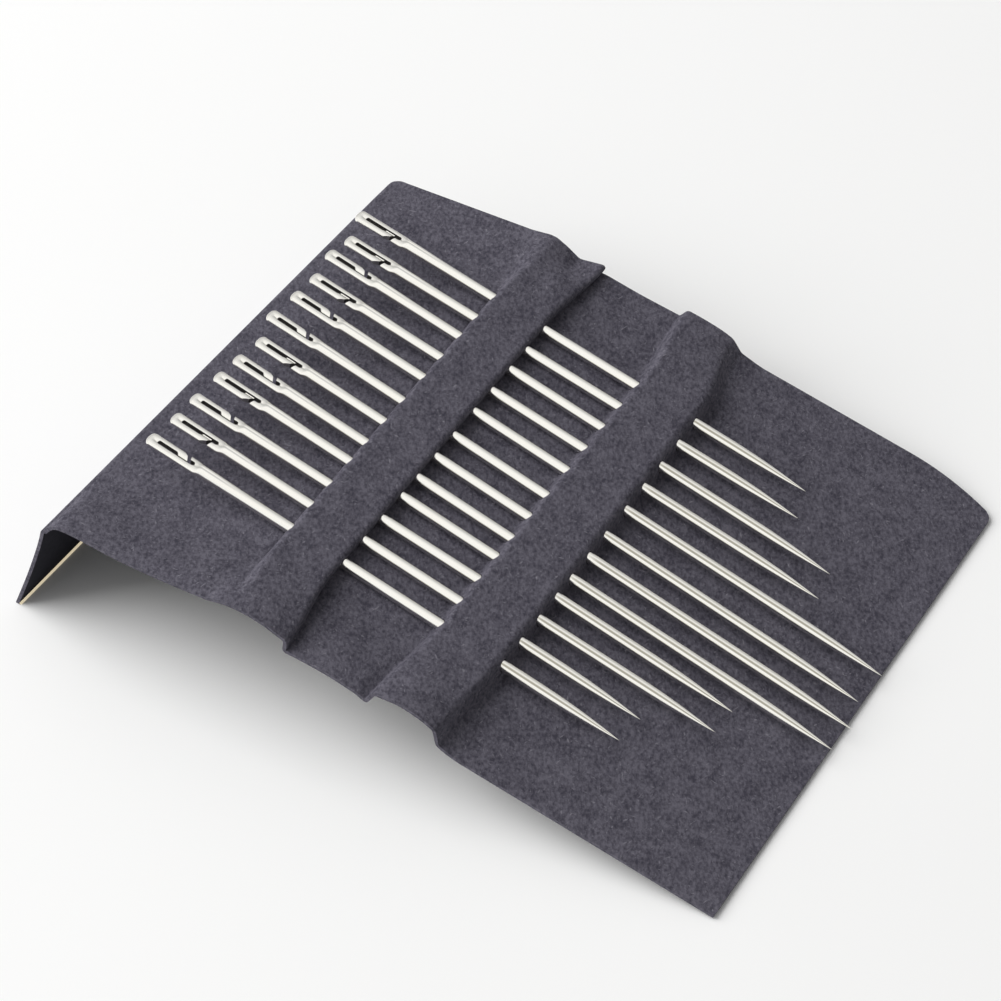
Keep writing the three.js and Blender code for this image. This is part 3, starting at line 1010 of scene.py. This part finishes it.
def needle_radius(graph, size):
    """Round end, head, taper, shaft and point, each as a rule of the place along the needle."""
    x = place_of(graph)[0]
    head = size["Head Width"] * 0.5
    shaft = size["Shaft Diameter"] * 0.5
    neck = size["Neck Width"] * 0.5
    neck_end = size["Head Length"] + size["Neck Length"]
    body = head + (neck - head) * x.ease(size["Head Length"], neck_end)
    body = body + (shaft - neck) * x.ease(neck_end, neck_end + size["Neck Taper"])
    back = (1 - x / size["Head End"]).clamp()
    rounded = (1 - back**END_CURVE) ** (1 / END_CURVE)
    point = ((x - size["Length"] + size["Point Length"]) / size["Point Length"]).clamp()
    return body * rounded * (1 - point**POINT_CURVE) + LEAST_RADIUS


def swept_needle(graph, size):
    """The bare round form: a line with its rings crowded towards both ends, swept with a circle."""
    along = graph.add("ShaderNodeCombineXYZ", None, {"X": size["Length"]})
    line = graph.add("GeometryNodeCurvePrimitiveLine", None, {"End": along})
    line = graph.add("GeometryNodeResampleCurve", None, {"Curve": line, "Count": RINGS})
    share = graph.add("GeometryNodeSplineParameter")
    wave = (share * math.tau).apply("SINE") * (RING_SPREAD / math.tau)
    spread = graph.add("ShaderNodeCombineXYZ", None, {"X": size["Length"] * (share - wave)})
    line = graph.add("GeometryNodeSetPosition", None, {"Geometry": line, "Position": spread})
    sockets = {"Resolution": ROUND_SIDES, "Radius": 1.0}
    circle = graph.add("GeometryNodeCurvePrimitiveCircle", None, sockets)
    radius = needle_radius(graph, size)
    sockets = {"Curve": line, "Profile Curve": circle, "Fill Caps": True, "Scale": radius}
    return graph.add("GeometryNodeCurveToMesh", None, sockets)


ROUND_FORM = swept_needle(NEEDLE_GRAPH, SIZE)
print("rings along a needle:", RINGS, "sides:", ROUND_SIDES)

# %% [markdown]
# A die stamps the head of a real needle flat and square. Here the same is done to the points of the
# round form: a power squares the section, its height is pressed, and a shallow dish and a fine gutter
# are sunk into both faces.

# %% Press the head flat
DISH_START = (0.15, 0.7)
DISH_END = 3.2
GUTTER_START = (0.25, 0.5)
GUTTER_FADE = 0.6


def bell(value, width):
    """1 in the middle, falling to nothing about two widths away."""
    share = value / width
    return (share * share * -1).apply("EXPONENT")


def pressed_head(graph, size, form):
    """Stamps the head flat and square, with a dish round the eye and a gutter on along the shaft."""
    x, y, z = place_of(graph)
    radius = (y * y + z * z) ** 0.5
    share = x.ease(size["Head Length"], size["Head Length"] + size["Neck Length"])
    power = (1 - share) * 2 / size["Head Squareness"] + share
    flat = size["Head Thickness"] / size["Head Width"]
    flat = flat + (1 - flat) * share
    side = z.apply("SIGN")
    wide = y.apply("SIGN") * radius * (y.apply("ABSOLUTE") / radius) ** power
    high = side * radius * (z.apply("ABSOLUTE") / radius) ** power * flat
    dish = bell(wide, size["Dish Width"]) * x.ease(*DISH_START)
    dish = dish * (1 - x.ease(DISH_END, size["Head Length"]))
    reach = 1 - x.ease(size["Gutter Length"] * GUTTER_FADE, size["Gutter Length"])
    gutter = bell(wide, size["Gutter Width"]) * x.ease(*GUTTER_START) * reach
    sunk = dish * size["Dish Depth"] + gutter * size["Gutter Depth"]
    place = graph.add("ShaderNodeCombineXYZ", None, {"X": x, "Y": wide, "Z": high - side * sunk})
    return graph.add("GeometryNodeSetPosition", None, {"Geometry": form, "Position": place})


PRESSED_FORM = pressed_head(NEEDLE_GRAPH, SIZE, ROUND_FORM)
print("head pressed to", NEEDLE_SIZES["Head Thickness"], "mm")

# %% [markdown]
# Two painted marks follow the needle's form and not its place in the picture: a dull line before the
# point, which is a painted reflection, and the walls of the eye, darker partly as unpolished metal and
# partly as painted shade. The tree stores each as a named attribute, which the metal's material reads.

# %% Mark the painted reflection line and the shaded walls of the eye
# Where and how wide the painted reflection line lies on the needle.
REFLECTION_LINE_TILT = math.radians(26)
REFLECTION_LINE_EDGE = 0.965
REFLECTION_LINE_FADE = 1.5
WALL_TILT = (0.1, 0.2)
EYE_SIDE = (0.4, 0.42)
EYE_START = (0.6, 0.62)
EYE_END = (3.75, 3.8)


def store(graph, form, name, domain, value):
    settings = {"data_type": "FLOAT", "domain": domain}
    sockets = {"Geometry": form, "Name": name, "Value": value}
    return graph.add("GeometryNodeStoreNamedAttribute", settings, sockets)


def ground_line(graph, size, form):
    """Marks a painted reflection: a dull line along the upper side of the stretch before the point."""
    x, y, z = place_of(graph)
    radius = (y * y + z * z) ** 0.5
    facing = (z * math.cos(REFLECTION_LINE_TILT) - y * math.sin(REFLECTION_LINE_TILT)) * size["Turn"] / radius
    start = x.ease(size["Reflection Line Start"], size["Reflection Line Start"] + REFLECTION_LINE_FADE)
    return store(graph, form, "ground_line", "POINT", facing.ease(REFLECTION_LINE_EDGE, 1.0) * start)


def dull_eye(graph, form):
    """Marks the walls of the eye, darker partly as unpolished metal and partly as painted shade: upright faces
    inside the head's outline.
    """
    x, y, _ = place_of(graph)
    tilt = graph.parts(graph.add("GeometryNodeInputNormal"))[2]
    upright = 1 - tilt.apply("ABSOLUTE").ease(*WALL_TILT)
    between = x.ease(*EYE_START) * (1 - x.ease(*EYE_END))
    inside = upright * (1 - y.apply("ABSOLUTE").ease(*EYE_SIDE)) * between
    return store(graph, form, "dull_eye", "FACE", inside)


print("marks for the metal: ground_line, dull_eye")

# %% [markdown]
# The tree ends with the cut: the eye's block is taken out of the head, the new faces are marked, and the
# result gets its metal.


# %% Finish the needle tree
def finished_tree(graph, size, form):
    eye = graph.add("GeometryNodeObjectInfo", None, {"Object": size["Eye"]}, out="Geometry")
    settings = {"operation": "DIFFERENCE", "solver": "EXACT"}
    form = graph.add("GeometryNodeMeshBoolean", settings, {"Mesh 1": form, "Mesh 2": eye})
    form = dull_eye(graph, ground_line(graph, size, form))
    form = graph.add("GeometryNodeRealizeInstances", None, {"Geometry": form})
    form = graph.add("GeometryNodeSetMaterial", None, {"Geometry": form, "Material": size["Metal"]})
    graph.add("NodeGroupOutput", None, {"Geometry": form})
    return graph.tree


NEEDLE_TREE = finished_tree(NEEDLE_GRAPH, SIZE, PRESSED_FORM)
print("needle tree nodes:", len(NEEDLE_TREE.nodes))

# %% [markdown]
# Each needle is made at its own length, then laid from its eye's end in the frame along its own
# direction. The notch faces the far side on some needles and the near side on others, so those are
# turned over.

# %% Lay the twelve needles
NOTCH_FAR = ("needle_03", "needle_05", "needle_06", "needle_08", "needle_10", "needle_12")


def needle_object(name, length, turn):
    """A finished needle along +X in millimetres, its eye's end at the origin."""
    holder = add_object(name, bpy.data.meshes.new(name))
    modifier = holder.modifiers.new("needle", "NODES")
    modifier.node_group = NEEDLE_TREE
    values = {"Length": length, "Turn": turn, "Eye": EYE_CUTTER, "Metal": STEEL_FINISH}
    for item in NEEDLE_TREE.interface.items_tree:
        if item.in_out == "INPUT" and item.name in values:
            modifier[item.identifier] = values[item.name]
    holder.data = settled(holder)
    return holder


def lay_needle(name):
    eye, tip = NEEDLE_ENDS[name]
    way = NEEDLE_WAYS[name]
    turn = 1.0 if name in NOTCH_FAR else -1.0
    needle = needle_object(f"steel_{name}", (tip - eye).dot(way) / MM, turn)
    axes = Matrix((way, BED_UP.cross(way) * turn, BED_UP * turn)).transposed().to_4x4()
    finish_mesh(needle, Matrix.Translation(eye) @ axes @ Matrix.Scale(MM, 4))
    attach(needle, name)
    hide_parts(name)
    return needle


NEEDLES = [lay_needle(name) for name in NEEDLE_NAMES]
bpy.data.objects.remove(EYE_CUTTER)
print("needles:", len(NEEDLES), "faces each:", len(NEEDLES[0].data.polygons))

# %% [markdown]
# The bed's sheet is stiff and joins the bed's body, so it rides along. The other sheets stay where they
# lie, and the CAD nodes that the sheets replace are hidden.


def hang_sheets():
    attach(BED_SHEET, "bed")
    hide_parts("first_band", "middle_panel", "second_band")
    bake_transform(EYE_SHEET)
    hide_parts("eye_panel")
    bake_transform(POINT_SHEET)
    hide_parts("point_panel")
    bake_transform(FLAP_SHEET)
    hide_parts("prop_flap")


hang_sheets()

# %% [markdown]
# The set stands on a wide, pale, matt table. A faint haze keeps it from looking like a flat fill. It
# isn't part of the object.

# %% Lay the table
TABLE_SIZE = 3.0
TABLE_COLOUR = (0.95, 0.95, 0.945, 1)
TABLE_SHADE = (0.9, 0.9, 0.89, 1)
HAZE_PER_MM = 0.02
HAZE = 0.3


def add_table():
    half = TABLE_SIZE / 2
    corners = [(-half, -half, 0), (half, -half, 0), (half, half, 0), (-half, half, 0)]
    mesh = bpy.data.meshes.new("table")
    mesh.from_pydata(corners, [], [(0, 1, 2, 3)])
    material, graph, shader = new_material("pale_table")
    haze = noise(graph, millimetres(graph), HAZE_PER_MM)
    colour = graph.mix(haze * HAZE, TABLE_COLOUR, TABLE_SHADE)
    graph.feed(shader, {"Base Color": colour, "Roughness": 0.8, "Specular IOR Level": 0.1})
    mesh.materials.append(material)
    add_object("table", mesh)


add_table()
print("table laid:", TABLE_SIZE, "m wide")

# %% [markdown]
# The light is soft. It comes from a wide window on the left and from the room all round, so the right
# sides of the bands go dark and the needles, which lie along the light, throw no shadow to the side. The
# world is white where it is seen, and dimmer as a light, so that the colours render as they are written.
# In the metal the room is brightest overhead and in front, as in a white tent that is open behind, and
# the window itself isn't mirrored, so that it leaves no hard sparkle on the needles.

# %% Light the set
ROOM_LIGHT = 0.46
ROOM_FRONT = 0.5
ROOM_LEFT = 0.7
MIRROR_LOW = 0.6
MIRROR_FRONT = 0.25
MIRROR_HIGH = 0.38
WINDOW_PLACE = Vector((-0.45, -0.17, 0.43))
WINDOW_SIZE = 0.7
WINDOW_POWER = 4.6


def add_world():
    world = bpy.data.worlds.new("room")
    bpy.context.scene.world = world
    world.use_nodes = True
    graph = Graph(world.node_tree)
    seen = graph.add("ShaderNodeLightPath", out="Is Camera Ray")
    mirrored = graph.add("ShaderNodeLightPath", out="Is Glossy Ray")
    through = graph.add("ShaderNodeLightPath", out="Is Transmission Ray")
    way = graph.add("ShaderNodeTexCoord", out="Generated")
    forward = graph.dot(way, (0, -1, 0))
    upward = graph.dot(way, (0, 0, 1))
    leftward = graph.dot(way, (-1, 0, 0))
    room = (forward * MIRROR_FRONT + upward * MIRROR_HIGH + MIRROR_LOW).clamp()
    light = (forward * ROOM_FRONT + leftward * ROOM_LEFT + 1) * ROOM_LIGHT
    plain = (seen + through).clamp()
    other = (1 - plain) * (1 - mirrored)
    strength = plain + mirrored * (1 - plain) * room + other * light
    graph.feed(world.node_tree.nodes["Background"], {"Color": (1, 1, 1, 1), "Strength": strength})


def add_window():
    data = bpy.data.lights.new("window", "AREA")
    data.energy = WINDOW_POWER
    data.size = WINDOW_SIZE
    window = bpy.data.objects.new("window", data)
    window.location = WINDOW_PLACE
    window.visible_glossy = False
    window.rotation_mode = "QUATERNION"
    window.rotation_quaternion = (-WINDOW_PLACE).to_track_quat("-Z", "Y")
    bpy.context.scene.collection.objects.link(window)


add_world()
add_window()
bpy.context.scene.view_settings.view_transform = "Standard"
print("window and room light in place")
